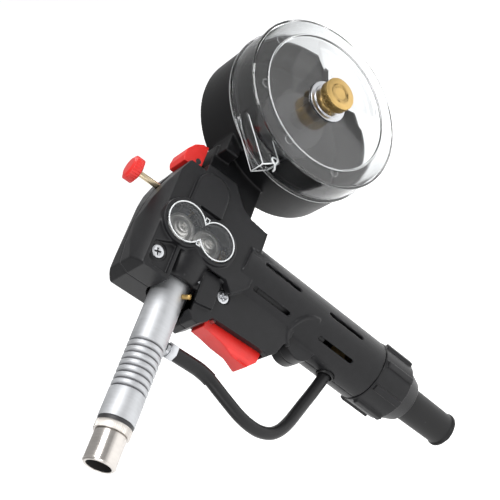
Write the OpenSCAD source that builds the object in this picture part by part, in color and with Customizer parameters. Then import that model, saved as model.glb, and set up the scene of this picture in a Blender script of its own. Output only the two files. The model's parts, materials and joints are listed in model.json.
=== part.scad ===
// Hand-held spool gun: a push-pull wire feeder with barrel, drive rolls, grip motor and spool canister.
// +X runs forward along the barrel, +Y is the gun's left (the spool cover's side), +Z is up.
// The origin lies on the barrel's axis, at the middle of the plain stretch that a torch clamp grips.

/* [Barrel] */
// Diameter of the barrel tube
barrel_d = 22; // [20:0.5:24]
// Wall of the barrel tube
barrel_wall = 2.5; // [2:0.25:3.5]
// Plain stretch in front of the grip grooves
seat_len = 17; // [14:1:24]
// Number of grip grooves
groove_count = 8; // [4:1:9]
// Distance from one groove to the next
groove_pitch = 4.3; // [3.5:0.1:5]
// Visible tube behind the grooves, up to the body
tube_rear_len = 45; // [42:1:56]
// Length of the insulating ring at the barrel's end
insulator_len = 2.5; // [2:0.5:5]
// Length of the knurled collar
knurl_len = 5; // [4:0.5:8]
// Length of the nozzle that shows
nozzle_len = 19; // [18:1:30]
// Diameter of the nozzle
nozzle_d = 19.2; // [18:0.2:20]

/* [Body] */
// Half width of the body's flanks
flank_y = 19.5; // [19:0.25:22]
// Wall of the housing halves
shell_wall = 2.4; // [2:0.1:2.8]
// Highest point of the body above the barrel's axis
body_top = 38.4; // [37.5:0.1:40]
// Radius of the upper window lobe
lobe_a_r = 13.8; // [13:0.1:14.5]
// Radius of the lower window lobe
lobe_b_r = 13.2; // [12.5:0.1:14]

/* [Drive] */
// Outer diameter of the drive and pressure rollers
roller_d = 20; // [18:0.5:20.4]
// Wire diameter between the rollers
wire_gap = 0.8; // [0.6:0.1:1.2]
// Teeth on the motor pinion
pinion_teeth = 10; // [8:1:12]
// Teeth on the drive gear
gear_teeth = 20; // [16:1:24]

/* [Grip] */
// Outer diameter of the grip
grip_d = 44; // [42:1:47]
// Length of the grip below the drive shaft
grip_len = 143; // [136:1:152]
// Forward lean of the grip, in degrees
grip_lean = 3; // [0:0.5:5]
// Diameter of the motor
motor_d = 33; // [28:1:34]
// Length of the motor
motor_len = 58; // [45:1:60]
// Length of the cable boot behind the collar
boot_len = 46; // [36:1:60]
// Bore of the cable boot
boot_bore_d = 14; // [12:0.5:15]

/* [Canister] */
// Outer diameter of the spool canister and its cover
can_d = 120; // [116:1:124]
// Depth of the canister
can_depth = 35; // [32:1:40]
// Depth of the clear cover
cover_depth = 25; // [20:1:30]
// Wall of the canister
can_wall = 2.5; // [2:0.1:3]
// Wall of the clear cover
cover_wall = 1.7; // [1.4:0.1:2]

/* [Hose] */
// Diameter of the gas hose
hose_d = 8.2; // [7.6:0.1:9]

/* [Hidden] */
$fn = 64;
running = 0.05;
gap = 0.3;
lap = 0.01;

barrel_r = barrel_d / 2;
grooves_len = groove_count * groove_pitch;
seat_x = tube_rear_len - 6 + grooves_len + seat_len / 2 - 3.4;
tube_front = seat_x + seat_len / 2;
knurl_x = tube_front + insulator_len;
nozzle_x = knurl_x + knurl_len;
nozzle_end = nozzle_x + nozzle_len;
socket_x = -6;
barb_x = 31.5;
hose_start = -barrel_r - 7.1;

drive_x = -42;
axle_z = roller_d / 2 + wire_gap / 2 - 0.1;
roller_r = roller_d / 2;
roller_w = 10;
frame_y = -flank_y + shell_wall + 0.5;
frame_t = 3;
arm_t = 2.4;
arm_y = frame_y + frame_t + gap;
arm_pivot = [-27, 15.5];
tension_x = -61;
rod_pivot_z = 6;
rod_r = 2;
prong_top = 15;
gear_r = 16.5;
gear_y = -9.6;
pinion_r = 6.6;

grip_r = grip_d / 2;
grip_top = 22;
spigot_r = grip_r - 2.8;
power_r = 12;
switch_x = -20;
switch_pegs = [-57, -46];
collar_len = 38;
boot_top = grip_len + 30;
boot_end = boot_top + boot_len + 4;

can_r = can_d / 2;
can_x = -96.5 - can_r;
can_z = -31.3;
can_back = -6;
latch_pivot = [-88, 18.4];
can_front = can_back + can_depth;
cover_back = can_front + 0.1;
cover_front = cover_back + cover_depth;
spindle_r = 4;
spout_tilt = 40;
spout_w = 13;

body_outline = [
    [-66, -40.5], [-24, -40.5], [-20.8, -37.4], [-13.4, -29.6], [-19.5, -24], [1, -24], [3, -12],
    [3, 29], [0, body_top - 2.6], [-14, body_top - 0.6], [-30, body_top], [-46, body_top - 1.8],
    [-59, body_top - 4.6], [-71, body_top - 8.6], [-84, body_top - 14], [-84, -8],
    [-71, -19], [-68, -26]
];
chin_outline = [
    [-30, -84], [-16, -84], [-8, -80], [0, -77], [5, -72], [4, -67], [4, -27],
    [8, -25], [13, -19.5], [12.5, -15], [6, -8], [-22, -8], [-30, -16]
];
trigger_outline = [
    [-1, -26.2], [9, -26.2], [10, -34], [12.3, -45], [17, -63], [10, -69], [0, -70.4], [-1, -68]
];
lobe_a = [-36, 15.2];
lobe_b = [-36, -7.7];
lens_y = flank_y + 2.9;
tongue_r = 12;
// X and Z of each screw, the Y of its head, and how far out its pocket is open
screw_spots = [[-10.2, 23.3, 17.8, 28], [-12.1, -29.3, 12.6, 14.2]];

// Centre points of the gas hose, from the barb to the grip
hose_route = [
    [barb_x, 0, hose_start], [31.5, 0, -24], [31.5, 0, -31], [31.8, 0, -38], [33.5, 0, -46], [37, 0, -55], [40.5, 0, -64],
    [43.5, 0, -72.5], [45.3, 0, -81], [45.4, 0, -89.5], [42.8, 0, -97.5], [37.5, 0, -103.5],
    [30, 0, -108], [21.5, 0, -111.5], [12.5, 0, -115], [4, 0, -118.4], [-4, 0, -121.4],
    [-11, 0, -123.8], [-17, 0, -125.2]
];

// ---- helpers ----

// Places a shape that is given from the body's datum, where the barrel enters the body
module at_body() {
    translate([-seat_x, 0, 0]) children();
}

// Local frame of the grip: origin on the drive shaft, Z up along the grip's axis
module at_grip() {
    at_body() translate([drive_x, 0, -axle_z]) rotate([0, -grip_lean, 0]) children();
}

// Local frame of the canister: origin on the spool's axis, Z along +Y
module at_spool() {
    at_body() translate([can_x, 0, can_z]) rotate([-90, 0, 0]) children();
}

// Cylinder along X from x0 to x1
module rod_x(r, x0, x1) {
    translate([x0, 0, 0]) rotate([0, 90, 0]) cylinder(r = r, h = x1 - x0);
}

// Cylinder along Y through (x, z), from y0 to y1
module rod_y(r, x, z, y0, y1) {
    translate([x, y0, z]) rotate([-90, 0, 0]) cylinder(r = r, h = y1 - y0);
}

// Side outline in X and Z, extruded from y0 to y1
module side(points, y0, y1) {
    translate([0, y1, 0]) rotate([90, 0, 0]) linear_extrude(y1 - y0) polygon(points);
}

module ring(r_out, r_in, h) {
    difference() {
        cylinder(r = r_out, h = h);
        translate([0, 0, -1]) cylinder(r = r_in, h = h + 2);
    }
}

// Edge of an outline, moved to its left by t: a point and a direction
function edge_line(p, q, t) =
    let (d = (q - p) / norm(q - p))
    [p + t * [-d[1], d[0]], d];
function cross_2d(a, b) = a[0] * b[1] - a[1] * b[0];
function meet(m, n) = m[0] + m[1] * cross_2d(n[0] - m[0], n[1]) / cross_2d(m[1], n[1]);
// Outline drawn inwards by t (points run counter-clockwise)
function inset(points, t) =
    let (n = len(points))
    [for (i = [0:n - 1])
        meet(edge_line(points[(i + n - 1) % n], points[i], t),
             edge_line(points[i], points[(i + 1) % n], t))];

// Round-toothed knob or nut: a disc with notches round its rim
module notched_disc(r, h, notches, depth) {
    difference() {
        cylinder(r = r, h = h);
        for (i = [0:notches - 1])
            rotate([0, 0, i * 360 / notches]) translate([r + depth * 0.4, 0, -1])
                cylinder(r = depth, h = h + 2, $fn = 16);
    }
}

// Open coil stand-in: a stack of rings joined by a thin sleeve
module coil(r, wire_r, h, turns) {
    union() {
        for (i = [0:turns - 1])
            translate([0, 0, wire_r + i * (h - 2 * wire_r) / (turns - 1)])
                rotate_extrude($fn = 32) translate([r, 0]) circle(r = wire_r, $fn = 16);
        translate([0, 0, wire_r]) ring(r + wire_r * 0.3, r - wire_r * 0.3, h - 2 * wire_r);
    }
}

// ---- housing ----

// Front view of the body: flat flanks and a rounded top
module body_section(t) {
    crown_r = 27;
    half = flank_y - t;
    rotate([90, 0, 90]) translate([0, 0, -100]) linear_extrude(130)
        union() {
            translate([-half, -60]) square([2 * half, 60 + body_top - crown_r]);
            intersection() {
                translate([0, body_top - crown_r]) circle(r = crown_r - t);
                translate([-half, 0]) square([2 * half, 80]);
            }
        }
}

// Solid of the body, drawn inwards by t
module body_block(t) {
    difference() {
        intersection() {
            side(inset(body_outline, t), -flank_y + t, flank_y - t);
            body_section(t);
        }
        // narrower round the latch
        for (s = [-1, 1]) translate([-100, s * (21.6 - t) - 10, 14.6 - t]) cube([21.5 + t, 20, 40]);
    }
}

module chin_block(t) {
    side(inset(chin_outline, t), -13 + t, 13 - t);
}

module window_boss(extra, y0, y1) {
    rod_y(lobe_a_r + extra, lobe_a[0], lobe_a[1], y0, y1);
    rod_y(lobe_b_r + extra, lobe_b[0], lobe_b[1], y0, y1);
}

// Tongue over the wire inlet, with a round rear end, drawn inwards by t
module inlet_tongue(t, y0, y1) {
    rod_y(tongue_r - t, -66, 6.5, y0, y1);
    translate([-66, y0, 6.5 - tongue_r + t]) cube([14 - t, y1 - y0, 2 * (tongue_r - t)]);
}

// Vent slot in the grip's wall: turn is its place round the grip, from +Y towards +X
module vent_slot(turn, s0, s1) {
    rotate([0, 0, 90 - turn]) translate([grip_r - 6, 0, 0]) {
        translate([0, -1.4, -s1]) cube([10, 2.8, s1 - s0]);
        for (s = [s0, s1]) translate([0, 0, -s]) rotate([0, 90, 0]) cylinder(r = 1.4, h = 10, $fn = 24);
    }
}

module housing_outer() {
    at_body() {
        body_block(0);
        chin_block(0);
        rod_x(14, -20, socket_x);
        rod_y(11.5, -18.5, -94.5, -9, 9);
        window_boss(2, 0, lens_y);
        inlet_tongue(0, 0, lens_y + 0.4);
    }
    at_grip() translate([0, 0, -grip_len]) cylinder(r = grip_r, h = grip_len - grip_top);
}

module housing_inner() {
    at_body() {
        body_block(shell_wall);
        chin_block(shell_wall);
        inlet_tongue(shell_wall, 0, lens_y - 1.6);
        // mouth at the rear for the canister's neck
        translate([-90, -13 - gap, -6.5]) cube([20, 26 + 2 * gap, 19]);
        // trigger mouth
        translate([0, -7.6, -71.2]) cube([14, 15.2, 46]);
        // slot in the top for the tension rod
        translate([tension_x - 12, -3.8, 18]) cube([15, 7.6, 24]);
        // seat of the barrel and the ring round it
        rod_x(barrel_r + running, -22, socket_x + 1);
        rod_x(barrel_r + 1.6, socket_x, 16);
        // seats for the window
        window_boss(-1.2, 12, lens_y + 2);
        window_boss(-0.4, lens_y - 2, lens_y + 2);
        // seat for the latch
        translate([-104, -8.5, 12.6]) cube([21.6, 19, 30]);
        // ends of the trigger's pin
        rod_y(1.5 + running, 3, -30.5, -10.5, 10.5);
        // set screw in the barrel's seat
        translate([1.6, 0, 0]) rotate([-120, 0, 0]) cylinder(r = 1.6 + running, h = 30);
        // notches for the window's clips
        for (s = [-1, 1]) translate([lobe_a[0] + s * 7 - 2.1, lens_y - 1.9, 1.5]) cube([4.2, 4, 3.8]);
    }
    at_grip() {
        translate([0, 0, -grip_len - 1]) cylinder(r = grip_r - shell_wall, h = grip_len - grip_top);
        for (turn = [36, -13, -62, 144, 193, 242]) {
            vent_slot(turn, 36, 64);
            vent_slot(turn, 92, 120);
        }
        // hole for the gas hose
        translate([0, 0, -115.8]) rotate([0, 90, 0]) cylinder(r = hose_d / 2 + 2, h = 40);
    }
}

// What the housing carries inside: screw posts, motor ribs, switch pegs and the collar's spigot
module housing_ribs() {
    at_grip() {
        for (s = [71, 89]) translate([0, 0, -s]) ring(grip_r - 1, motor_d / 2 + running, 3);
        translate([0, 0, -32.5]) ring(grip_r - 1, motor_d / 2 - 0.4 + running, 3);
        translate([0, 0, -grip_len + 8]) ring(grip_r - 1, power_r + running, 6);
        translate([0, 0, -grip_len - 18]) ring(spigot_r, spigot_r - 2.2, 19);
        translate([0, 0, -grip_len]) ring(grip_r - 1, spigot_r - 2.2, 3);
    }
    at_body() for (z = switch_pegs) rod_y(1.15, switch_x + 3, z, -12, 12);
    at_body() for (p = screw_spots) rod_y(5.8, p[0], p[1], -p[2] - 0.3, p[2] + 0.3);
}

module screw_bores() {
    at_body() for (p = screw_spots) {
        rod_y(1.95 + running, p[0], p[1], -p[2] + 5, p[2]);
        rod_y(4.5, p[0], p[1], p[2] - 2.4, p[3]);
    }
}

module housing_shell() {
    difference() {
        union() {
            difference() {
                housing_outer();
                housing_inner();
            }
            housing_ribs();
        }
        screw_bores();
        // clear of the switch and of the frame's block inside
        at_body() translate([switch_x - gap, -3.5, -62.3]) cube([1.9, 7, 20.6]);
        at_body() translate([-23, -14, -13.8]) cube([13, 27.6, 27.6]);
        at_body() rod_x(barrel_r + running, -22, 16);
    }
}

module housing_left() {
    color("#2b2b2d") intersection() {
        housing_shell();
        translate([-400, 0, -400]) cube([800, 100, 800]);
    }
}

module housing_right() {
    color("#2b2b2d") intersection() {
        housing_shell();
        translate([-400, -100, -400]) cube([800, 100 - lap, 800]);
    }
}

module window_lens() {
    color([0.85, 0.88, 0.9, 0.4]) at_body() difference() {
        union() {
            window_boss(-0.45, lens_y - 1.8, lens_y + 0.9);
            // clip tabs at the waist
            for (s = [-1, 1]) translate([lobe_a[0] + s * 7 - 2, lens_y - 1.8, 1.6]) cube([4, 2.7, 3.6]);
        }
        window_boss(-2.2, lens_y - 3, lens_y - 0.7);
    }
}

module housing_screws() {
    color("#c9cacc") at_body() for (p = screw_spots) difference() {
        union() {
            rod_y(1.95, p[0], p[1], -p[2] + 6, p[2] - 2.2);
            rod_y(4.1, p[0], p[1], p[2] - 2.4, p[2]);
        }
        for (turn = [0, 90]) translate([p[0], p[2], p[1]]) rotate([0, turn + 20, 0])
            translate([-2.4, -1, -0.5]) cube([4.8, 4, 1]);
    }
}

// ---- wire drive ----

module feed_frame() {
    color("#a9acb0") difference() {
        at_body() union() {
            translate([-65, frame_y, -19.5]) cube([59, frame_t, 39.5]);
            translate([-22, frame_y, -13.5]) cube([12, frame_t + 27.5, 27]);
        }
        at_body() {
            rod_x(barrel_r + running, -18, 0);
            rod_x(3 + running, -30, 0);
            rod_y(3 + running, drive_x, -axle_z, frame_y - 1, frame_y + 8);
            rod_y(2 + running, arm_pivot[0], arm_pivot[1], frame_y - 1, frame_y + 8);
            rod_y(2 + running, tension_x, rod_pivot_z, frame_y - 1, frame_y + 8);
            for (p = screw_spots) rod_y(6.1, p[0], p[1], frame_y - 1, frame_y + frame_t + 1);
            translate([-8, frame_y - 1, 17]) cube([10, 8, 8]);
        }
    }
}

module outlet_guide() {
    color("#c8a04a") at_body() difference() {
        rod_x(3, -31.5, -18.2);
        rod_x(1, -40, 0);
    }
}

module inlet_guide() {
    color("#3a3a3c") at_body() difference() {
        union() {
            rod_x(2, -98, -53.2);
            rod_x(4, -93, -74);
        }
        rod_x(1, -110, -40);
    }
}

module gearbox() {
    color("#8d9094") at_grip() difference() {
        translate([0, 0, -40]) cylinder(r = motor_d / 2 - 0.4, h = 22);
        translate([0, 0, -44]) cylinder(r = 3 + running, h = 30);
        translate([0, 0, -41]) cylinder(r = 12, h = 8);
        translate([-30, -30, -18.6]) cube([60, 60, 10]);
    }
}

module motor() {
    color("#5d6064") at_grip() union() {
        translate([0, 0, -40.2 - motor_len]) cylinder(r = motor_d / 2, h = motor_len);
        translate([0, 0, -44.2 - motor_len]) cylinder(r = 6, h = 4 + lap);
        for (side_y = [-8, 8]) translate([-3, side_y - 1, -46 - motor_len]) cube([6, 1.2, 6 + lap]);
    }
}

module motor_pinion() {
    color("#c2a35a") at_grip() union() {
        translate([0, 0, -39]) cylinder(r = 3, h = 23);
        translate([0, 0, -16.4]) cylinder(r = pinion_r - 1.4, h = 5);
        for (i = [0:pinion_teeth - 1]) rotate([0, 0, 270 + (i + 0.5) * 360 / pinion_teeth])
            translate([pinion_r - 2, -0.45, -14]) cube([2, 0.9, 2.3]);
    }
}

// Shaft, disc and side teeth, in the drive shaft's own frame with Z along +Y
module drive_gear() {
    color("#b7b9bc") at_grip() rotate([-90, 0, 0]) union() {
        translate([0, 0, frame_y - 0.3]) cylinder(r = 3, h = 5.6 - frame_y);
        translate([0, 0, gear_y]) cylinder(r = gear_r, h = 2.6);
        for (i = [0:gear_teeth - 1]) rotate([0, 0, 90 + i * 360 / gear_teeth])
            translate([11.2, -0.6, gear_y + 2.5]) cube([2.6, 1.2, 1.2]);
    }
}

// Roller with a V groove at the wire's line and a knurled rim
module feed_roller(r) {
    difference() {
        translate([0, 0, -roller_w / 2]) cylinder(r = r, h = roller_w);
        translate([0, 0, -roller_w / 2 - 1]) cylinder(r = 3 + running, h = roller_w + 2);
        rotate_extrude() polygon([[r - 0.6, 0], [r + 0.4, 0.8], [r + 0.4, -0.8]]);
        translate([0, 0, roller_w / 2 - 1]) ring(r - 1.8, 5.4, 2);
    }
}

module drive_roller() {
    color("#c4c6c9") at_body() translate([drive_x, 0, -axle_z]) rotate([-90, 0, 0]) feed_roller(roller_r);
}

module screw_cap(head_r) {
    difference() {
        union() {
            cylinder(r = head_r + 1.6, h = 0.9);
            translate([0, 0, 0.9]) cylinder(r = head_r, h = 2.2);
        }
        for (turn = [25, 115]) rotate([0, 0, turn]) translate([-2.2, -0.5, 1.7]) cube([4.4, 1, 2]);
    }
}

module drive_screw() {
    color("#d8d9da") at_body() translate([drive_x, 0, -axle_z]) rotate([-90, 0, 0])
        translate([0, 0, 5.4]) screw_cap(3.6);
}

module pressure_roller() {
    color("#c4c6c9") at_body() translate([drive_x, 0, axle_z]) rotate([-90, 0, 0]) feed_roller(roller_r);
}

module pressure_arm() {
    color("#9a9da1") at_body() difference() {
        union() {
            side([[-32, 9], [-23.5, 11], [-23.5, 19.5], [-42, 17.5], [-61, prong_top], [-61, 8.6], [-48, 6]],
                arm_y, arm_y + arm_t);
            translate([-61, arm_y, 8.6]) cube([7.6, 6.4 - arm_y, prong_top - 8.6]);
            rod_y(3, drive_x, axle_z, arm_y, 5.3);
        }
        rod_y(2 + running, arm_pivot[0], arm_pivot[1], arm_y - 1, arm_y + 6);
        translate([-63, -rod_r - 0.9, 7]) cube([5.6, 2 * rod_r + 1.8, 12]);
        // clear of the trunnion below
        translate([-66, -7, 5]) cube([12, 14, 5]);
    }
}

module roller_screw() {
    color("#d8d9da") at_body() translate([drive_x, 5.35, axle_z]) rotate([-90, 0, 0]) screw_cap(3.9);
}

module arm_pin() {
    color("#b7b9bc") at_body() rod_y(2, arm_pivot[0], arm_pivot[1], frame_y + 0.2, arm_y + arm_t + 2);
}

module trunnion_pin() {
    color("#b7b9bc") at_body() rod_y(2, tension_x, rod_pivot_z, frame_y + 0.2, 4.4);
}

module trunnion() {
    color("#c8a04a") at_body() difference() {
        union() {
            rod_y(3.4, tension_x, rod_pivot_z, -4.2, 4.2);
            translate([tension_x, 0, rod_pivot_z]) cylinder(r = 2.4, h = 6);
        }
        rod_y(2 + running, tension_x, rod_pivot_z, -6, 6);
        translate([tension_x, 0, rod_pivot_z + 2.2]) cylinder(r = 1.2 + running, h = 8);
    }
}

module spring_cup() {
    color("#8d9094") at_body() translate([tension_x, 0, prong_top + 1.6]) ring(4.6, rod_r + running, 1.6);
}

module tension_spring() {
    color("#b0b3b6") at_body() translate([tension_x, 0, prong_top + 3.3]) coil(3.5, 0.6, 6.5, 4);
}

module tension_collar() {
    color("#8d9094") at_body() translate([tension_x, 0, prong_top + 9.9]) ring(3.7, rod_r + running, 2.4);
}

module tension_rod() {
    color("#cfd0d2") at_body() translate([tension_x, 0, 0]) union() {
        translate([0, 0, 15.2]) cylinder(r = rod_r, h = 35.8);
        translate([0, 0, 11.3]) cylinder(r = 1.2, h = 4);
    }
}

module tension_knob() {
    color("#d8332f") at_body() translate([tension_x, 0, 49]) difference() {
        union() {
            notched_disc(8.4, 5.4, 26, 0.5);
            translate([0, 0, 5.4 - lap]) cylinder(r1 = 7.7, r2 = 6, h = 1.2);
            translate([0, 0, -1.2]) cylinder(r1 = 5.4, r2 = 7.2, h = 1.2 + lap);
        }
        translate([0, 0, -2]) cylinder(r = rod_r, h = 5);
    }
}

// ---- barrel ----

module barrel_tube() {
    groove_x = seat_x - seat_len / 2 - grooves_len;
    color("#c5c8cb") at_body() difference() {
        rod_x(barrel_r, -17.6, tube_front);
        rod_x(barrel_r - barrel_wall, -40, tube_front + 1);
        for (i = [0:groove_count - 1])
            translate([groove_x + (i + 0.5) * groove_pitch, 0, 0]) rotate([0, 90, 0])
                rotate_extrude() polygon([[barrel_r - 1.1, -0.4], [barrel_r - 1.1, 0.4],
                    [barrel_r + 0.4, 1.4], [barrel_r + 0.4, -1.4]]);
        translate([barb_x, 0, -barrel_r - 1]) cylinder(r = 2.5 + running, h = 8);
    }
}

module barrel_insulator() {
    color("#1c1c1e") at_body() difference() {
        union() {
            rod_x(barrel_r - 0.35, tube_front + lap, knurl_x);
            rod_x(barrel_r - barrel_wall - running, tube_front - 8, tube_front + 0.5);
        }
        rod_x(6 + running, 0, knurl_x + 1);
    }
}

module knurled_collar() {
    color("#b9bcbf") at_body() translate([knurl_x + 0.05, 0, 0]) rotate([0, 90, 0]) difference() {
        notched_disc(barrel_r - 0.2, knurl_len - 0.1, 60, 0.42);
        translate([0, 0, -1]) cylinder(r = 6 + running, h = knurl_len + 2);
    }
}

module wire_liner() {
    color("#b98b3e") at_body() difference() {
        rod_x(2.4, -17.4, knurl_x - 6);
        rod_x(1, -30, knurl_x + 1);
    }
}

module gas_diffuser() {
    color("#c8a04a") at_body() difference() {
        union() {
            rod_x(6, tube_front - 4, knurl_x + knurl_len + 2);
            rod_x(4.6, nozzle_x + 1.9, nozzle_x + 9);
        }
        rod_x(2.4 + running, 0, knurl_x - 5.8);
        rod_x(1.2, 0, nozzle_end);
        rod_x(2.2 + running, nozzle_x + 1, nozzle_x + 12);
        for (turn = [0:60:300]) translate([nozzle_x + 4.5, 0, 0]) rotate([turn, 0, 0])
            cylinder(r = 0.9, h = 8);
    }
}

module contact_tip() {
    color("#b0693c") at_body() difference() {
        union() {
            rod_x(2.2, nozzle_x + 2, nozzle_x + 9.2);
            rod_x(3.2, nozzle_x + 9.2, nozzle_end - 6.5);
            translate([nozzle_end - 6.5 - lap, 0, 0]) rotate([0, 90, 0]) cylinder(r1 = 3.2, r2 = 1.8, h = 3.5);
        }
        rod_x(0.5, 0, nozzle_end + 1);
    }
}

module nozzle() {
    color("#bfc1c3") at_body() difference() {
        union() {
            rod_x(nozzle_d / 2, nozzle_x + 0.1, nozzle_end - 1);
            translate([nozzle_end - 1 - lap, 0, 0]) rotate([0, 90, 0])
                cylinder(r1 = nozzle_d / 2, r2 = nozzle_d / 2 - 0.7, h = 1);
        }
        rod_x(nozzle_d / 2 - 2.1, nozzle_x + 4, nozzle_end + 1);
        rod_x(6 + running, nozzle_x - 1, nozzle_x + 5);
    }
}

module grub_screw() {
    color("#d9c27a") at_body() translate([1.6, 0, 0]) rotate([-120, 0, 0]) difference() {
        translate([0, 0, barrel_r + 0.1]) cylinder(r = 1.6, h = 5.4);
        translate([-2, -0.3, barrel_r + 4.6]) cube([4, 0.6, 2]);
    }
}

module barb_fitting() {
    color("#b4b6b8") at_body() translate([barb_x, 0, 0]) difference() {
        union() {
            translate([0, 0, -barrel_r + 1]) mirror([0, 0, 1]) cylinder(r = 2.5, h = 6);
            translate([0, 0, -barrel_r - 0.05]) mirror([0, 0, 1]) cylinder(r = 3.9, h = 2.2);
            translate([0, 0, -barrel_r - 2.2]) mirror([0, 0, 1]) cylinder(r = 5.6, h = 4.6, $fn = 6);
            translate([0, 0, -barrel_r - 6.7]) mirror([0, 0, 1]) cylinder(r = 3, h = 3.6);
            for (i = [0:2]) translate([0, 0, -barrel_r - 9.6 - i * 3]) mirror([0, 0, 1])
                cylinder(r1 = 2.9, r2 = 2.3, h = 3.2);
        }
        translate([0, 0, -40]) cylinder(r = 1.4, h = 40);
    }
}

// ---- gas hose ----

function unit(v) = v / norm(v);
function tangent(points, i) =
    unit(points[min(i + 1, len(points) - 1)] - points[max(i - 1, 0)]);
// Tube along points in the XZ plane, with the given number of sides
module swept_tube(points, r, sides) {
    count = len(points);
    ring_points = [for (i = [0:count - 1]) let (t = tangent(points, i), n = [-t[2], 0, t[0]])
        for (k = [0:sides - 1]) let (a = k * 360 / sides)
            points[i] + r * (cos(a) * n + sin(a) * [0, 1, 0])];
    walls = [for (i = [0:count - 2]) for (k = [0:sides - 1])
        [i * sides + k, i * sides + (k + 1) % sides,
         (i + 1) * sides + (k + 1) % sides, (i + 1) * sides + k]];
    cap_a = [[for (k = [sides - 1:-1:0]) k]];
    cap_b = [[for (k = [0:sides - 1]) (count - 1) * sides + k]];
    polyhedron(points = ring_points, faces = concat(cap_a, walls, cap_b), convexity = 6);
}

module gas_hose() {
    color("#1d1d1f") at_body() swept_tube(hose_route, hose_d / 2, 12);
}

module hose_sleeve() {
    color("#151517") at_body() translate([barb_x, 0, -33]) difference() {
        cylinder(r = hose_d / 2 + 0.8, h = hose_start + 33);
        translate([0, 0, -1]) cylinder(r = hose_d / 2 + 0.2, h = hose_start + 35);
    }
}

module hose_grommet() {
    color("#151517") at_grip() translate([grip_r - 3.4, 0, -115.8]) rotate([0, 90, 0])
        ring(hose_d / 2 + 1.9, hose_d / 2 + 0.8, 4.4);
}

// ---- trigger ----

module trigger() {
    color("#d8332f") at_body() difference() {
        union() {
            difference() {
                union() {
                    side(trigger_outline, -7, 7);
                    rod_y(4, 3, -30.5, -7, 7);
                }
                side([[-4, -35], [5, -35], [6.5, -46], [9, -60], [6, -66], [-4, -66]], -5, 5);
                // chamfers along the finger face
                for (s = [-1, 1]) translate([14, s * 10.2, -50]) rotate([0, 0, s * 45])
                    translate([-4, -4, -30]) cube([8, 8, 60]);
            }
            // rib that presses the switch
            translate([-5.9, -2.5, -53]) cube([13.5, 5, 4]);
        }
        rod_y(1.5 + running, 3, -30.5, -10, 10);
    }
}

module trigger_pin() {
    color("#b7b9bc") at_body() rod_y(1.5, 3, -30.5, -10.4, 10.4);
}

module trigger_spring() {
    color("#b0b3b6") at_body() translate([switch_x + 10.1, 0, -58]) rotate([0, 90, 0]) coil(2.6, 0.5, 17.8, 6);
}

module micro_switch() {
    color("#232325") at_body() difference() {
        translate([switch_x, -3.2, -62]) cube([10, 6.4, 20]);
        translate([0, 0, -51]) rod_x(1.2 + running, switch_x + 6, switch_x + 11);
        for (z = switch_pegs) rod_y(1.15 + running, switch_x + 3, z, -5, 5);
    }
}

module switch_plunger() {
    color("#b03a34") at_body() translate([0, 0, -51]) rod_x(1.2, switch_x + 8.6, switch_x + 13.8);
}

// ---- canister ----

module canister_latch() {
    color("#d8332f") at_body() difference() {
        side([[-102, 15.2], [-83.6, 15.2], [-82.7, 16.2], [-82.7, 27.6], [-86, 29], [-92, 28.4],
            [-98, 24.8], [-101.6, 19.6]], -8, 10);
        rod_y(2, latch_pivot[0], latch_pivot[1], -12, 12);
        translate([-94, -3.3, 10]) cube([20, 6.6, 13.4]);
    }
}

module latch_pin() {
    color("#b7b9bc") at_body() rod_y(2, latch_pivot[0], latch_pivot[1], -7.9, 9.9);
}

// Outside of the canister with its neck and wire port
module canister_outer() {
    at_spool() {
        translate([0, 0, can_back]) cylinder(r = can_r, h = can_depth);
        translate([0, 0, can_front - lap]) cylinder(r = can_r - cover_wall - gap, h = 4);
    }
    at_body() {
        translate([-106, -13, -29]) cube([33, 26, 41]);
        translate([-112, 2, 0]) cube([14, 22, 10]);
    }
}

module spool_canister() {
    color("#242426") difference() {
        union() {
            difference() {
                canister_outer();
                // clear of the body's rear wall
                at_body() side([[-84.4, 60], [-84.4, -8.2], [-71, -19.6], [-67, -27], [-60, -60],
                    [-20, -60], [-20, 60]], -20, 20);
            }
            // spigot in the body's rear mouth, and the latch's ear
            at_body() translate([-86, -13, -6.2]) cube([11, 26, 18.4]);
            at_body() translate([-92, -3, 11]) cube([7.5, 6, 10]);
        }
        at_spool() {
            translate([0, 0, can_back + can_wall])
                cylinder(r = can_r - can_wall - 1.6, h = can_depth + 10);
            translate([0, 0, can_back - 1]) cylinder(r = spindle_r + running, h = 10);
        }
        at_body() {
            rod_y(2 + running, latch_pivot[0], latch_pivot[1], -5, 5);
            rod_x(2 + running, -125, -60);
            rod_x(4 + running, -93, -60);
        }
    }
}

module spool_spindle() {
    color("#b7b9bc") at_spool() union() {
        translate([0, 0, can_back + 0.2]) cylinder(r = spindle_r, h = cover_front + 10 - can_back);
        translate([0, 0, can_back + can_wall + 0.05]) cylinder(r = 8, h = 2);
    }
}

module spool_hub() {
    color("#37383b") at_spool() difference() {
        union() {
            translate([0, 0, can_back + can_wall + 12]) cylinder(r = 24, h = 2.4);
            translate([0, 0, can_back + can_wall + 12]) cylinder(r = 8, h = cover_front - can_back - 24);
        }
        cylinder(r = spindle_r + running, h = 80);
    }
}

module brake_spring() {
    color("#b0b3b6") at_spool() translate([0, 0, can_back + can_wall + 2.2]) coil(6, 0.7, 9.6, 5);
}

// The tangent box that the wire leaves by, in the canister's side view
module spout_block(t, y0, y1) {
    translate([can_x, 0, can_z]) rotate([0, spout_tilt, 0])
        translate([0, y0, can_r - 14 + t]) cube([36 + t, y1 - y0, 14 - 2 * t]);
}

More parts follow.
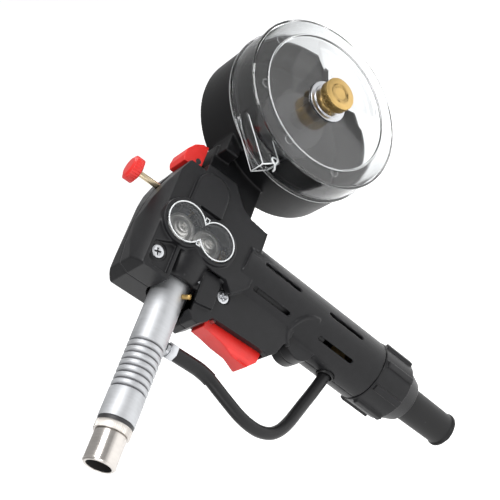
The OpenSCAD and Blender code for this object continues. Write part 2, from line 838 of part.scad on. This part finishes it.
module spool_cover() {
    color([0.8, 0.84, 0.87, 0.35]) difference() {
        union() {
            at_spool() {
                translate([0, 0, cover_back]) cylinder(r = can_r, h = cover_depth - 1.5);
                translate([0, 0, cover_front - 1.5 - lap]) cylinder(r1 = can_r, r2 = can_r - 1.5, h = 1.5 + lap);
                translate([0, 0, cover_back]) cylinder(r = can_r + 1.4, h = 2);
                translate([0, 0, cover_front - lap]) ring(can_r * 0.81, can_r * 0.81 - 1.2, 0.8);
            }
            at_body() spout_block(0, cover_back + 0.5, cover_back + spout_w);
        }
        at_spool() {
            translate([0, 0, cover_back - 1]) cylinder(r = can_r - cover_wall, h = cover_depth - cover_wall + 1);
            cylinder(r = spindle_r + running, h = 80);
        }
        at_body() spout_block(cover_wall, cover_back + 0.5 + cover_wall, cover_back + spout_w - cover_wall);
    }
}

module cover_washer() {
    color("#d4d5d6") at_spool() translate([0, 0, cover_front + 0.05]) union() {
        ring(14.4, spindle_r + running, 1);
        ring(11.6, spindle_r + running, 2);
    }
}

module thumb_nut() {
    color("#c9a13f") at_spool() translate([0, 0, cover_front + 2.1]) difference() {
        union() {
            cylinder(r = 6.6, h = 4.4);
            translate([0, 0, 4.4 - lap]) notched_disc(11.3, 6.6, 44, 0.4);
        }
        translate([0, 0, -1]) cylinder(r = spindle_r + running, h = 12);
    }
}

// ---- cable end ----

module collar_nut() {
    color("#202022") at_grip() difference() {
        union() {
            translate([0, 0, -grip_len - 26]) cylinder(r = grip_r + 0.4, h = 25.8);
            translate([0, 0, -grip_len - collar_len]) cylinder(r1 = 16, r2 = grip_r - 1, h = collar_len - 25.5);
            for (i = [0:7]) rotate([0, 0, i * 45]) translate([grip_r - 2, -2.4, -grip_len - 25])
                cube([4.4, 4.8, 23]);
        }
        translate([0, 0, -grip_len - 24]) cylinder(r = grip_r - 2.6, h = 30);
        translate([0, 0, -grip_len - 60]) cylinder(r = 13, h = 60);
    }
}

module cable_boot() {
    color("#19191b") at_grip() difference() {
        union() {
            translate([0, 0, -boot_end]) cylinder(r1 = 11.4, r2 = 12.2, h = boot_end - grip_len - 23);
            translate([0, 0, -grip_len - 23.6]) cylinder(r = grip_r - 3, h = 3);
            translate([0, 0, -boot_end]) ring(12.4, 9, 2.4);
        }
        translate([0, 0, -boot_end - 1]) cylinder(d = boot_bore_d, h = 200);
    }
}

module power_block() {
    color("#c8a04a") at_grip() difference() {
        translate([0, 0, -grip_len + 2]) cylinder(r = power_r, h = 20.6);
        translate([0, 0, -grip_len - 4]) cylinder(r = 5, h = 22);
    }
}

housing_left();
housing_right();
window_lens();
feed_frame();
gearbox();
motor();
motor_pinion();
drive_gear();
drive_roller();
drive_screw();
pressure_arm();
arm_pin();
pressure_roller();
roller_screw();
trunnion_pin();
tension_rod();
tension_knob();
spring_cup();
tension_spring();
tension_collar();
trunnion();
inlet_guide();
outlet_guide();
barrel_tube();
barrel_insulator();
knurled_collar();
wire_liner();
gas_diffuser();
contact_tip();
nozzle();
barb_fitting();
gas_hose();
hose_sleeve();
hose_grommet();
trigger();
trigger_pin();
trigger_spring();
micro_switch();
switch_plunger();
canister_latch();
latch_pin();
spool_canister();
spool_spindle();
spool_hub();
brake_spring();
spool_cover();
cover_washer();
thumb_nut();
housing_screws();
grub_screw();
collar_nut();
cable_boot();
power_block();
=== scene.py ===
import json
import math

import bmesh
import bpy
from mathutils import Matrix, Vector


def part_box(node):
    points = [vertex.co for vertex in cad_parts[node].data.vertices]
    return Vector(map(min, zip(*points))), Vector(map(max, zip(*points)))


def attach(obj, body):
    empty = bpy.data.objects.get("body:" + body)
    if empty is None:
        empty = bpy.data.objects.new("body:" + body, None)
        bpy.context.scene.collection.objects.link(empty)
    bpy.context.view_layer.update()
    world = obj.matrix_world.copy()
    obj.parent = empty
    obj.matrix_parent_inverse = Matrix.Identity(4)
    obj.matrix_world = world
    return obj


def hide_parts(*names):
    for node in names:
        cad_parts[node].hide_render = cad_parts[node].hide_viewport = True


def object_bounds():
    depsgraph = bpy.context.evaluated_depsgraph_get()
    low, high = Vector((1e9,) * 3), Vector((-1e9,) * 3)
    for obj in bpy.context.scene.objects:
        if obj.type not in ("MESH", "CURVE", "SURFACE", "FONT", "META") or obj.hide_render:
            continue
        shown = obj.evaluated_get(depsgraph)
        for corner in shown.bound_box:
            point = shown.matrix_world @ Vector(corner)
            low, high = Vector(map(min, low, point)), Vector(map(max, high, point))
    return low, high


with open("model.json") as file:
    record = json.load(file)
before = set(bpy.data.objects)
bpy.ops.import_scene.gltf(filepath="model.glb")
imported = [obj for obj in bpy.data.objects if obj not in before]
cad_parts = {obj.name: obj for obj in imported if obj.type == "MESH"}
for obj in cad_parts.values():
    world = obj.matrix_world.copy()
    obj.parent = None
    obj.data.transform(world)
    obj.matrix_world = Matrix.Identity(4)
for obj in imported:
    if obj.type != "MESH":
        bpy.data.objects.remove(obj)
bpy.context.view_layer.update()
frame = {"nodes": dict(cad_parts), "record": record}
nodes = frame["nodes"]
slots = {s["node"]: s["material_slot"] for s in frame["record"]["subparts"]}
bodies = {n: b for b, names in frame["record"]["behaviour"]["bodies"].items() for n in names}

# Distance in mm from the body's datum to the row's origin, along the barrel
SEAT_X = 78.5
MM = 0.001


def P(x, y, z):
    """Point given in mm from the body's datum, in the row frame."""
    return Vector(((x - SEAT_X) * MM, y * MM, z * MM))


# ---- camera ----
cam_data = bpy.data.cameras.new("camera")
cam_data.lens = 72.69
cam_data.sensor_width = 36
cam_data.clip_start, cam_data.clip_end = 0.01, 50
cam = bpy.data.objects.new("camera", cam_data)
bpy.context.scene.collection.objects.link(cam)
bpy.context.scene.camera = cam
right, up, back = (Vector((-0.283, 0.593, -0.754)), Vector((-0.79, 0.302, 0.533)),
                   Vector((0.544, 0.747, 0.383)))
turn = Matrix((right, up, back)).transposed().to_4x4()
cam.matrix_world = Matrix.Translation(P(293.2, 488.1, 208.2)) @ turn


# ---- materials ----
def material(name, colour, rough, metal=0.0, grain=900.0, bump=0.05, vary=0.12, stretch=(1, 1, 1),
             rough_vary=0.1, wear=0.0, **sockets):
    """Principled material with noise in its colour, roughness and surface."""
    m = bpy.data.materials.new(name)
    m.use_nodes = True
    tree = m.node_tree
    n, link = tree.nodes, tree.links
    shader = n["Principled BSDF"]
    shader.inputs["Metallic"].default_value = metal
    for key, value in sockets.items():
        shader.inputs[key.replace("_", " ")].default_value = value
    coord = n.new("ShaderNodeTexCoord")
    mapping = n.new("ShaderNodeMapping")
    mapping.inputs["Scale"].default_value = stretch
    link.new(coord.outputs["Object"], mapping.inputs["Vector"])

    def noise(scale, detail):
        t = n.new("ShaderNodeTexNoise")
        t.inputs["Scale"].default_value = scale
        t.inputs["Detail"].default_value = detail
        link.new(mapping.outputs["Vector"], t.inputs["Vector"])
        return t

    fine, broad = noise(grain, 4), noise(grain / 14, 3)
    ramp = n.new("ShaderNodeValToRGB")
    ramp.color_ramp.elements[0].position = 0.3
    ramp.color_ramp.elements[1].position = 0.7
    ramp.color_ramp.elements[0].color = [c * (1 - vary) for c in colour] + [1]
    ramp.color_ramp.elements[1].color = [min(1, c * (1 + vary)) for c in colour] + [1]
    link.new(broad.outputs["Fac"], ramp.inputs["Fac"])
    colour_out = ramp.outputs["Color"]
    if wear:
        geo = n.new("ShaderNodeNewGeometry")
        edge = n.new("ShaderNodeValToRGB")
        edge.color_ramp.elements[0].position = 0.52
        edge.color_ramp.elements[1].position = 0.62
        link.new(geo.outputs["Pointiness"], edge.inputs["Fac"])
        amount = n.new("ShaderNodeMath")
        amount.operation = "MULTIPLY"
        amount.inputs[1].default_value = wear
        link.new(edge.outputs["Color"], amount.inputs[0])
        mix = n.new("ShaderNodeMix")
        mix.data_type = "RGBA"
        link.new(amount.outputs[0], mix.inputs["Factor"])
        link.new(colour_out, mix.inputs["A"])
        mix.inputs["B"].default_value = [min(1, c * 2.5 + 0.04) for c in colour] + [1]
        colour_out = mix.outputs["Result"]
    link.new(colour_out, shader.inputs["Base Color"])
    spread = n.new("ShaderNodeMapRange")
    spread.inputs["To Min"].default_value = max(0.02, rough - rough_vary / 2)
    spread.inputs["To Max"].default_value = rough + rough_vary / 2
    link.new(broad.outputs["Fac"], spread.inputs["Value"])
    link.new(spread.outputs["Result"], shader.inputs["Roughness"])
    relief = n.new("ShaderNodeBump")
    relief.inputs["Strength"].default_value = bump
    relief.inputs["Distance"].default_value = 0.0002
    link.new(fine.outputs["Fac"], relief.inputs["Height"])
    link.new(relief.outputs["Normal"], shader.inputs["Normal"])
    return m


M = {
    "housing_plastic": material("housing_plastic", (0.008, 0.008, 0.009), 0.38, grain=2600, bump=0.3,
                                vary=0.15, wear=0.3, Specular_IOR_Level=0.25),
    "canister_black": material("canister_black", (0.004, 0.004, 0.0045), 0.42, grain=2600, bump=0.2,
                               vary=0.15, wear=0.2, Specular_IOR_Level=0.16),
    "window_plastic": material("window_plastic", (0.3, 0.31, 0.32), 0.08, grain=300, bump=0.02, vary=0.01,
                               rough_vary=0.04, Alpha=0.08),
    # Dark grey metal for rings that paint shade into the barrel's grooves
    "groove_painted_shade": material("groove_painted_shade", (0.16, 0.16, 0.17), 0.5, 0.8, grain=900, bump=0.1),
    "boot_rubber": material("boot_rubber", (0.005, 0.005, 0.0055), 0.5, grain=1800, bump=0.25, wear=0.2,
                            Specular_IOR_Level=0.3),
    "hose_rubber": material("hose_rubber", (0.005, 0.005, 0.0055), 0.38, grain=1500, bump=0.15,
                            Specular_IOR_Level=0.34),
    "red_plastic": material("red_plastic", (0.6, 0.016, 0.012), 0.36, grain=2200, bump=0.15, vary=0.06,
                            wear=0.15),
    "clear_plastic": material("clear_plastic", (0.9, 0.912, 0.918), 0.05, grain=300, bump=0.02, vary=0.01,
                              rough_vary=0.04, Transmission_Weight=1.0, IOR=1.49),
    "barrel_alloy": material("barrel_alloy", (0.52, 0.53, 0.545), 0.6, 1.0, grain=1500, bump=0.08, vary=0.05,
                             stretch=(6, 1, 1), Anisotropic=0.3),
    "nickel": material("nickel", (0.56, 0.53, 0.5), 0.24, 1.0, grain=1400, bump=0.04, vary=0.06,
                       stretch=(12, 1, 1), Anisotropic=0.5),
    "zinc": material("zinc", (0.5, 0.51, 0.53), 0.28, 1.0, grain=900, bump=0.05, vary=0.1),
    "brass": material("brass", (0.52, 0.35, 0.13), 0.32, 1.0, grain=1500, bump=0.06, vary=0.1),
    "copper": material("copper", (0.62, 0.3, 0.19), 0.3, 1.0, grain=1200, bump=0.05, vary=0.1),
    "motor_paint": material("motor_paint", (0.012, 0.012, 0.014), 0.45, grain=1500, bump=0.1),
    "roller_steel": material("roller_steel", (0.86, 0.85, 0.82), 0.32, 0.7, grain=1500, bump=0.05, vary=0.06),
    # Near-black matt material that paints the shade inside the nozzle
    "nozzle_shade": material("nozzle_shade", (0.006, 0.006, 0.006), 0.8, grain=900, bump=0.3),
    # Whitish half-clear plastic for beads on clear edges: painted highlight lines along real rims and ridges
    "clear_edge_highlight": material("clear_edge_highlight", (0.9, 0.92, 0.93), 0.12, grain=300, bump=0.02, vary=0.02,
                           rough_vary=0.04, Transmission_Weight=0.35, IOR=1.49),
    "steel": material("steel", (0.6, 0.6, 0.61), 0.28, 1.0, grain=1800, bump=0.08, vary=0.08),
    "frame_alloy": material("frame_alloy", (0.45, 0.46, 0.48), 0.5, 1.0, grain=700, bump=0.2, vary=0.1),
    "black_plastic": material("black_plastic", (0.02, 0.02, 0.022), 0.5, grain=2000, bump=0.2),
    "tinted_steel": material("tinted_steel", (0.62, 0.52, 0.36), 0.25, 1.0, grain=1500, bump=0.05, vary=0.1),
}
for name, obj in nodes.items():
    obj.data.materials.clear()
    obj.data.materials.append(M[slots[name]])
nodes["latch_pin"].data.materials[0] = M["black_plastic"]


# ---- helpers ----
def new_object(name, mesh):
    obj = bpy.data.objects.new(name, mesh)
    bpy.context.scene.collection.objects.link(obj)
    return obj


def bake_modifiers(obj):
    """The object's mesh becomes what its modifiers make of it."""
    graph = bpy.context.evaluated_depsgraph_get()
    mesh = bpy.data.meshes.new_from_object(obj.evaluated_get(graph))
    obj.modifiers.clear()
    obj.data = mesh
    return obj


def copy_of(node, name):
    """Copy of a CAD node's mesh with its flat faces joined up."""
    bm = bmesh.new()
    bm.from_mesh(nodes[node].data)
    bmesh.ops.remove_doubles(bm, verts=bm.verts, dist=2e-6)
    bmesh.ops.dissolve_limit(bm, angle_limit=math.radians(0.6), verts=bm.verts, edges=bm.edges)
    mesh = bpy.data.meshes.new(name)
    bm.to_mesh(mesh)
    bm.free()
    return new_object(name, mesh)


def finish_piece(obj, node, finish=None, smooth_angle=35):
    obj.data.materials.clear()
    obj.data.materials.append(M[finish or slots[node]])
    obj.data.shade_smooth()
    obj.data.set_sharp_from_angle(angle=math.radians(smooth_angle))
    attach(obj, bodies[node])
    return obj


def crisp(node, width, segments=2, finish=None):
    """The node with its edges broken by a small round."""
    obj = copy_of(node, node + "_piece")
    edge = obj.modifiers.new("edge", "BEVEL")
    edge.width, edge.segments = width * MM, segments
    edge.limit_method, edge.angle_limit = "ANGLE", math.radians(30)
    edge.use_clamp_overlap = False
    edge.miter_outer = "MITER_ARC"
    bake_modifiers(obj)
    finish_piece(obj, node, finish)
    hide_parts(node)
    return obj


def cone(a, b, r0, r1, sides=64):
    """Round bar between two points in mm from the body's datum."""
    a, b = P(*a), P(*b)
    bm = bmesh.new()
    bmesh.ops.create_cone(bm, cap_ends=True, segments=sides, radius1=r0 * MM, radius2=r1 * MM,
                          depth=(b - a).length)
    q = (b - a).to_track_quat("Z", "Y")
    matrix = Matrix.Translation((a + b) / 2) @ q.to_matrix().to_4x4()
    bmesh.ops.transform(bm, matrix=matrix, verts=bm.verts)
    return bm


def prism(points, y0, y1):
    """Side outline in X and Z, from y0 to y1."""
    bm = bmesh.new()
    low = [bm.verts.new(P(x, y0, z)) for x, z in points]
    high = [bm.verts.new(P(x, y1, z)) for x, z in points]
    bm.faces.new(low)
    bm.faces.new(high[::-1])
    for i in range(len(points)):
        j = (i + 1) % len(points)
        bm.faces.new((low[j], low[i], high[i], high[j]))
    bmesh.ops.recalc_face_normals(bm, faces=bm.faces)
    return bm


def as_object(name, *bms):
    mesh = bpy.data.meshes.new(name)
    whole = bmesh.new()
    for bm in bms:
        part = bpy.data.meshes.new("part")
        bm.to_mesh(part)
        bm.free()
        whole.from_mesh(part)
        bpy.data.meshes.remove(part)
    whole.to_mesh(mesh)
    whole.free()
    return new_object(name, mesh)


def cut(obj, *bms):
    """Takes closed shapes out of the object."""
    for bm in bms:
        tool = as_object("tool", bm)
        change = obj.modifiers.new("cut", "BOOLEAN")
        change.operation, change.solver, change.object = "DIFFERENCE", "EXACT", tool
        bake_modifiers(obj)
        bpy.data.objects.remove(tool)
    return obj


def moulded(node, name, adds=(), cuts=(), voxel=0.55, passes=6):
    """The node as moulded plastic: shapes added and cut, then every edge rounded."""
    obj = copy_of(node, name)
    if cuts:
        cut(obj, *cuts)
    if adds:
        extra = as_object("extra", *adds)
        bm = bmesh.new()
        bm.from_mesh(obj.data)
        bm.from_mesh(extra.data)
        bm.to_mesh(obj.data)
        bm.free()
        bpy.data.objects.remove(extra)
    remesh = obj.modifiers.new("remesh", "REMESH")
    remesh.mode, remesh.voxel_size = "VOXEL", voxel * MM * 1
    soft = obj.modifiers.new("soft", "SMOOTH")
    soft.factor, soft.iterations = 0.5, passes
    bake_modifiers(obj)
    finish_piece(obj, node, smooth_angle=180)
    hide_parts(node)
    return obj


def tube(name, path, radius, node, finish, closed=False, capped=False, resolution=3):
    """Round bead along a path of points in the row frame."""
    data = bpy.data.curves.new(name, "CURVE")
    data.dimensions = "3D"
    data.bevel_depth, data.bevel_resolution = radius * MM, resolution
    data.use_fill_caps = capped
    line = data.splines.new("POLY")
    line.points.add(len(path) - 1)
    for dot, place in zip(line.points, path):
        dot.co = (*place, 1)
    line.use_cyclic_u = closed
    line.use_smooth = True
    obj = new_object(name, data)
    data.materials.append(M[finish])
    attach(obj, bodies[node])
    return obj


# ---- gas hose ----
# X and Z of the hose's centre points, in mm from the body's datum
HOSE = [(31.5, -18.1), (31.5, -24), (31.5, -31), (31.8, -38), (33.5, -46), (37, -55), (40.5, -64),
        (43.5, -72.5),
        (45.3, -81), (45.4, -89.5), (42.8, -97.5), (37.5, -103.5), (30, -108), (21.5, -111.5),
        (12.5, -115), (4, -118.4), (-4, -121.4), (-11, -123.8), (-17, -125.2)]
HOSE_D = 8.2
# The sleeve covers the first points of the smoothed route
SLEEVE_POINTS, SLEEVE_WALL = 17, 0.55


def smooth_path(points, steps=4):
    """Catmull-Rom points through the given ones."""
    pts = [Vector(p) for p in points]
    pts = [2 * pts[0] - pts[1]] + pts + [2 * pts[-1] - pts[-2]]
    out = []
    for i in range(1, len(pts) - 2):
        a, b, c, d = pts[i - 1:i + 3]
        for s in range(steps):
            t = s / steps
            out.append(0.5 * ((2 * b) + (c - a) * t + (2 * a - 5 * b + 4 * c - d) * t * t
                              + (3 * b - a - 3 * c + d) * t ** 3))
    return out + [pts[-2]]


route = smooth_path([P(x, 0, z) for x, z in HOSE])
hose = tube("gas_hose_tube", route, HOSE_D / 2, "gas_hose", "hose_rubber", capped=True, resolution=6)
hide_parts("gas_hose")
sleeve = tube("hose_sleeve_tube", route[:SLEEVE_POINTS], HOSE_D / 2 + SLEEVE_WALL, "hose_sleeve",
              slots["hose_sleeve"], capped=True, resolution=6)
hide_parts("hose_sleeve")


# ---- housing ----
UPPER_RECESS = [(-20.5, 13.6), (-20.5, 17), (-15, 28.2), (-3.4, 28.2), (0.2, 24), (0.2, 13.6)]
FOOT_RECESS = [(-19.6, -12), (-19.6, -23.9), (-14.2, -28.6), (-10, -28.6), (8, -28.6), (8, -12)]
SEAT_RECESS = [(-20, -12.3), (-20, 11.5), (8, 11.5), (8, -12.3)]
FRONT_RECESS = [(-5.6, -12.3), (-5.6, 11.5), (8, 11.5), (8, -12.3)]
SEAT_FLOOR = [(-21, -13.5), (-21, 15), (-5.6, 15), (-5.6, -13.5)]
FOOT_FLOOR = [(-20.5, -11), (-20.5, -23.8), (0.4, -23.8), (2, -12), (2, -11)]


def flank_cuts():
    """Recesses of the left flank round the screws and beside the barrel."""
    return [prism(UPPER_RECESS, 16.9, 30), prism(FOOT_RECESS, 15.6, 30), prism(SEAT_RECESS, 13, 30),
            prism(FRONT_RECESS, 3, 30)]


def bead(points, radius, sides=10):
    """Round bar with capped ends through points in the row frame."""
    bm = bmesh.new()
    rings = []
    for i, place in enumerate(points):
        ahead = (points[min(i + 1, len(points) - 1)] - points[max(i - 1, 0)]).normalized()
        u = ahead.orthogonal().normalized() if not rings else (u - ahead * u.dot(ahead)).normalized()
        v = ahead.cross(u)
        rings.append([bm.verts.new(place + (u * math.cos(a) + v * math.sin(a)) * radius * MM)
                      for a in [2 * math.pi * k / sides for k in range(sides)]])
    for low, high in zip(rings, rings[1:]):
        for k in range(sides):
            j = (k + 1) % sides
            bm.faces.new((low[k], low[j], high[j], high[k]))
    bm.faces.new(rings[0][::-1])
    bm.faces.new(rings[-1])
    bmesh.ops.recalc_face_normals(bm, faces=bm.faces)
    return bm


def grip_surface(x, z):
    """Half width of the grip's round wall at a height, in mm."""
    axis = -42 + (-10.3 - z) * math.tan(math.radians(3))
    return math.sqrt(max(0, 22 ** 2 - (x - axis) ** 2))


def finger_arc(s, r):
    """Raised lip round the finger rest below the trigger."""
    points = []
    for k in range(19):
        a = math.radians(48 + 136 * k / 18)
        x, z = -18.5 + r * math.cos(a), -94.5 + r * math.sin(a)
        points.append(P(x, s * (max(12.4, grip_surface(x, z)) - 0.4), z))
    return bead(points, 1.5)


def label_edge(s):
    """Lip along the lower rear edge of the body's flank."""
    corners = [(-13.6, -29.9), (-21, -37.4), (-24.2, -39.9), (-64, -39.9)]
    return bead([P(x, s * 18.9, z) for x, z in corners], 0.9)


def flank_adds(s):
    """Lips on a flank, and on the left one the fairing and the recess floors; s is the side, 1 or -1."""
    lips = [finger_arc(s, 14.2), label_edge(s)]
    if s < 0:
        return lips
    screw_ring = [P(-10.2 + 5.2 * math.cos(a), 17.3, 23.3 + 5.2 * math.sin(a))
                  for a in [2 * math.pi * k / 32 for k in range(33)]]
    floors = [prism(UPPER_RECESS, 15.2, 17), prism(FOOT_FLOOR, 13.9, 15.7), prism(SEAT_FLOOR, 11.3, 13.4)]
    return lips + [fairing(), bead(screw_ring, 0.75)] + floors


def fairing():
    """Raised shell from the window to the barrel's seat."""
    bm = bmesh.new()
    rings = []
    # X, the round's centre in Y, and its radius
    for x, cy, r in ((-27, 6.6, 15.2), (-20, 5.8, 14.9), (-13, 4.2, 14.4), (-7.5, 2.4, 14.2),
                     (-5.6, 1.6, 13.6)):
        rings.append([[bm.verts.new(P(x, cy + rr * math.cos(a), rr * math.sin(a)))
                       for a in [math.radians(-78 + 156 * k / 24) for k in range(25)]]
                      for rr in (r, r - 2)])
    for (o0, i0), (o1, i1) in zip(rings, rings[1:]):
        for k in range(24):
            bm.faces.new((o0[k], o0[k + 1], o1[k + 1], o1[k]))
            bm.faces.new((i0[k], i1[k], i1[k + 1], i0[k + 1]))
        for k in (0, 24):
            bm.faces.new((o0[k], o1[k], i1[k], i0[k]))
    for o, i in (rings[0], rings[-1]):
        for k in range(24):
            bm.faces.new((o[k], o[k + 1], i[k + 1], i[k]))
    bmesh.ops.recalc_face_normals(bm, faces=bm.faces)
    return bm


for side, name in ((1, "housing_left"), (-1, "housing_right")):
    recesses = flank_cuts() if side > 0 else ()
    moulded(name, name + "_shell", adds=flank_adds(side), cuts=recesses, voxel=0.5, passes=5)

canister = moulded("spool_canister", "canister_shell", voxel=0.7, passes=7)
canister.data.materials[0] = M["canister_black"]
moulded("cable_boot", "cable_boot_rubber", voxel=0.5, passes=4)
moulded("collar_nut", "collar_nut_shell", voxel=0.5, passes=3)
moulded("trigger", "trigger_lever", voxel=0.4, passes=5)
moulded("canister_latch", "canister_latch_key", voxel=0.4, passes=6)

FINISH = {"window_lens": "window_plastic", "tension_rod": "tinted_steel", "drive_roller": "roller_steel",
          "pressure_roller": "roller_steel", "drive_screw": "roller_steel", "roller_screw": "roller_steel"}
for name, width in (("window_lens", 0.25), ("barrel_tube", 0.12), ("barrel_insulator", 0.1),
                    ("knurled_collar", 0.08), ("nozzle", 0.25), ("contact_tip", 0.2), ("barb_fitting", 0.12),
                    ("hose_grommet", 0.2), ("tension_rod", 0.15), ("tension_knob", 0.18),
                    ("spool_cover", 0.5), ("cover_washer", 0.3), ("thumb_nut", 0.18), ("spool_hub", 0.4),
                    ("housing_screws", 0.2), ("grub_screw", 0.12), ("drive_roller", 0.2),
                    ("pressure_roller", 0.2), ("drive_screw", 0.15), ("roller_screw", 0.15),
                    ("spool_spindle", 0.2)):
    crisp(name, width, 3 if width > 0.2 else 2, finish=FINISH.get(name))

# Painted shade: the nozzle's inside faces get a near-black material that stands in for the shadow inside its
# mouth
nozzle = bpy.data.objects["nozzle_piece"]
nozzle.data.materials.append(M["nozzle_shade"])
nozzle_lo, nozzle_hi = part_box("nozzle")
for face in nozzle.data.polygons:
    radius = math.hypot(face.center.y, face.center.z)
    if radius < 7.6 * MM and nozzle_lo[0] + 1 * MM < face.center.x < nozzle_hi[0] - 0.2 * MM:
        face.material_index = 1


def lobed_outline(grow, y, steps=40):
    """Outline of the two-lobed window, drawn outwards by grow."""
    (xa, za, ra), (xb, zb, rb) = (-36, 15.2, 13.8 + grow), (-36, -7.7, 13.2 + grow)
    gap = za - zb
    from_a = (gap * gap + ra * ra - rb * rb) / (2 * gap)
    half = math.sqrt(ra * ra - from_a * from_a)
    start_a = math.atan2(-from_a, half)
    start_b = math.atan2(gap - from_a, half)
    points = []
    for k in range(steps + 1):
        a = start_a + (math.pi - 2 * start_a) * k / steps
        points.append(P(xa + ra * math.cos(a), y, za + ra * math.sin(a)))
    for k in range(1, steps):
        a = math.pi - start_b + (math.pi + 2 * start_b) * k / steps
        points.append(P(xb + rb * math.cos(a), y, zb + rb * math.sin(a)))
    return points


def ring_path(cx, cz, r, y, steps=96):
    return [P(cx + r * math.cos(2 * math.pi * k / steps), y, cz + r * math.sin(2 * math.pi * k / steps))
            for k in range(steps)]


# Painted shade in the barrel's grooves, as dark rings laid in their floors: how many, the first one's X, the
# pitch and the radius
GROOVES, GROOVE_X, GROOVE_PITCH, GROOVE_R = 8, 37.75, 4.3, 10.15
around = [2 * math.pi * j / 64 for j in range(64)]
for k in range(GROOVES):
    x = GROOVE_X + GROOVE_PITCH * k
    ring = [P(x, GROOVE_R * math.cos(a), GROOVE_R * math.sin(a)) for a in around]
    tube(f"barrel_groove_shade_{k + 1}", ring, 0.38, "barrel_tube", "groove_painted_shade", closed=True)

# X and Z of the canister's axis
CAN = (-156.5, -31.3)
nut_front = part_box("thumb_nut")[1][1] / MM
nut_disc = cone((CAN[0], nut_front - 1.2, CAN[1]), (CAN[0], nut_front, CAN[1]), 7, 7)
nut_face = as_object("thumb_nut_face", nut_disc)
finish_piece(nut_face, "thumb_nut")
# Painted highlights: whitish half-clear beads on the window's rim and the cover's rim and ridge paint the
# bright lines of light along these real edges
tube("window_rim", lobed_outline(-0.9, 23.0), 0.42, "window_lens", "clear_edge_highlight", closed=True)
cover_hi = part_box("spool_cover")[1]
front_y = cover_hi[1] / MM - 0.8
tube("cover_rim_bead", ring_path(*CAN, 61.1, front_y - 24.3), 0.3, "spool_cover", "clear_edge_highlight", closed=True)
tube("cover_ridge_bead", ring_path(*CAN, 48.4, front_y + 0.62), 0.18, "spool_cover", "clear_edge_highlight",
     closed=True)
SPOUT_TILT, SPOUT_LEN, SPOUT_H, CAN_R = 40, 36, 14, 60


def spout_point(along, height, y):
    """Point of the spout: along its run, out from the canister's axis, and Y."""
    c, s = math.cos(math.radians(SPOUT_TILT)), math.sin(math.radians(SPOUT_TILT))
    return P(CAN[0] + along * c + height * s, y, CAN[1] - along * s + height * c)


spout_y0, spout_y1 = front_y - 24.4 + 0.5, front_y - 24.4 + 13
mouth = [spout_point(SPOUT_LEN, h, y) for h, y in
         ((CAN_R, spout_y0), (CAN_R, spout_y1), (CAN_R - SPOUT_H, spout_y1), (CAN_R - SPOUT_H, spout_y0))]
# Painted highlights along the spout's mouth and edges
tube("spout_mouth_bead", mouth, 0.4, "spool_cover", "clear_edge_highlight", closed=True)
for k, (y, start) in enumerate(((spout_y0, 1), (spout_y1, 3))):
    edge = [spout_point(start, CAN_R - 0.1, y), spout_point(SPOUT_LEN, CAN_R - 0.1, y)]
    tube(f"spout_edge_{k + 1}", edge, 0.32, "spool_cover", "clear_edge_highlight")
edge = [spout_point(21, CAN_R - SPOUT_H, spout_y1), spout_point(SPOUT_LEN, CAN_R - SPOUT_H, spout_y1)]
tube("spout_edge_3", edge, 0.32, "spool_cover", "clear_edge_highlight")
# The cover's hook, outlined with whitish beads as painted highlights
hook = P(-97.5, front_y - 10.5, -15)
turn_round = [2 * math.pi * k / 24 for k in range(24)]
eye = [hook + Vector((2.1 * MM * math.cos(t), 0.4 * MM * math.sin(2 * t), 2.1 * MM * math.sin(t)))
       for t in turn_round]
tube("cover_hook_eye", eye, 0.6, "spool_cover", "clear_edge_highlight", closed=True)
tip = [hook + Vector(step) * MM for step in ((1.5, -1, -1.5), (3.2, -3, -3.5), (2.4, -6, -4.4))]
tube("cover_hook_tip", tip, 0.7, "spool_cover", "clear_edge_highlight")
# Window clips and cover marks, outlined with whitish beads as painted highlights
for k, (x, z) in enumerate(((-27.6, 3.4), (-44.6, 3.2))):
    clip = [P(x + dx, 22.9, z + dz) for dx, dz in ((-1.6, -1.3), (1.6, -1.3), (1.6, 1.3), (-1.6, 1.3))]
    tube(f"window_clip_{k + 1}", clip, 0.35, "window_lens", "clear_edge_highlight", closed=True)
for k in range(8):
    a = math.radians(20 + 45 * k)
    mark = ring_path(CAN[0] + 50.2 * math.cos(a), CAN[1] + 50.2 * math.sin(a), 2.9, front_y + 0.1, 32)
    tube(f"cover_mark_{k + 1}", mark, 0.09, "spool_cover", "clear_edge_highlight", closed=True)

# ---- floor and light ----
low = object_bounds()[0][2]
floor_mesh = bmesh.new()
bmesh.ops.create_grid(floor_mesh, x_segments=8, y_segments=8, size=40)
floor = as_object("floor", floor_mesh)
floor.location.z = low - 0.16
floor.data.materials.append(material("floor_paper", (0.9, 0.9, 0.9), 0.9, grain=60, bump=0.0, vary=0.004,
                                     Emission_Color=(1, 1, 1, 1), Emission_Strength=0.56))

world = bpy.data.worlds.new("studio")
bpy.context.scene.world = world
world.use_nodes = True
world.node_tree.nodes["Background"].inputs["Color"].default_value = (1, 1, 1, 1)
world.node_tree.nodes["Background"].inputs["Strength"].default_value = 0.5


def softbox(name, place, target, size, power):
    data = bpy.data.lights.new(name, "AREA")
    data.shape, data.size, data.size_y, data.energy = "RECTANGLE", size[0], size[1], power
    obj = bpy.data.objects.new(name, data)
    bpy.context.scene.collection.objects.link(obj)
    obj.location = place
    obj.rotation_mode = "QUATERNION"
    obj.rotation_quaternion = (Vector(target) - Vector(place)).to_track_quat("-Z", "Y")


middle = P(-70, 10, -40)
softbox("key", middle + Vector((-0.2, 0.75, 1.1)), middle, (0.9, 0.6), 16)
softbox("fill", middle + Vector((1.2, 0.5, 0.5)), middle, (0.8, 0.8), 7)
softbox("rim", middle + Vector((-1.1, -0.3, 0.5)), middle, (0.5, 1.0), 6)
bpy.context.scene.view_settings.view_transform = "Standard"
